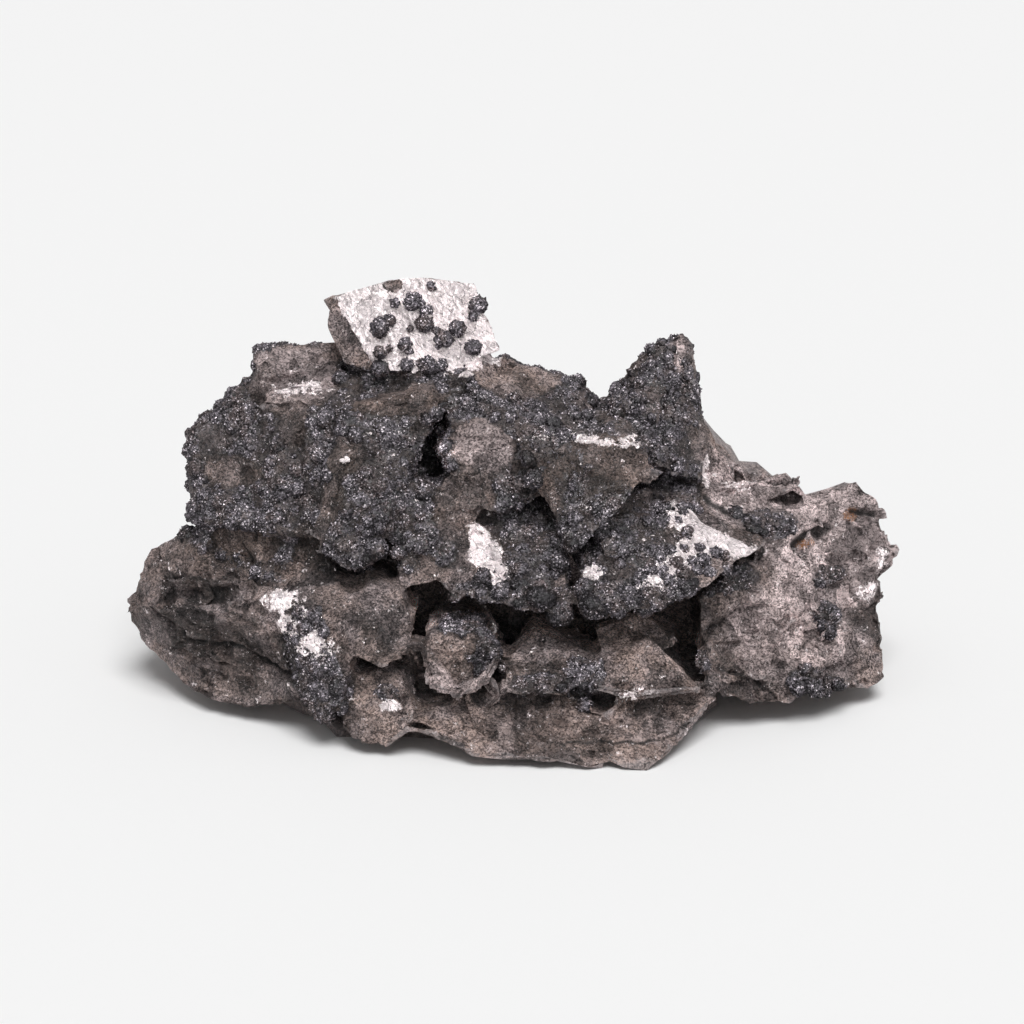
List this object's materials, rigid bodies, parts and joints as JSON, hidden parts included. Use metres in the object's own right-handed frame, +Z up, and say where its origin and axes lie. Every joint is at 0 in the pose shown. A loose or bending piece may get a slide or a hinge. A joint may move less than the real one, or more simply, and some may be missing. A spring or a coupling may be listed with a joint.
{
  "type": "freibergite specimen",
  "caption": "Freibergite mineral specimen: silver-grey cleavage plates and brown-grey blocks grown together, with knobbly dark crust over the upper walls.",
  "frame": {"origin": "under the middle of the specimen's box, on the surface that it rests on", "axes": "+X to the right along the long side, +Y towards the back, +Z up"},
  "size_m": [0.1326, 0.0822, 0.0685],
  "materials": {
    "specimen": "brown-grey broken rock with silver-grey metallic plates and a sparkling dark crust"
  },
  "bodies": {
    "root": {"specimen": "specimen"}
  },
  "joints": []
}
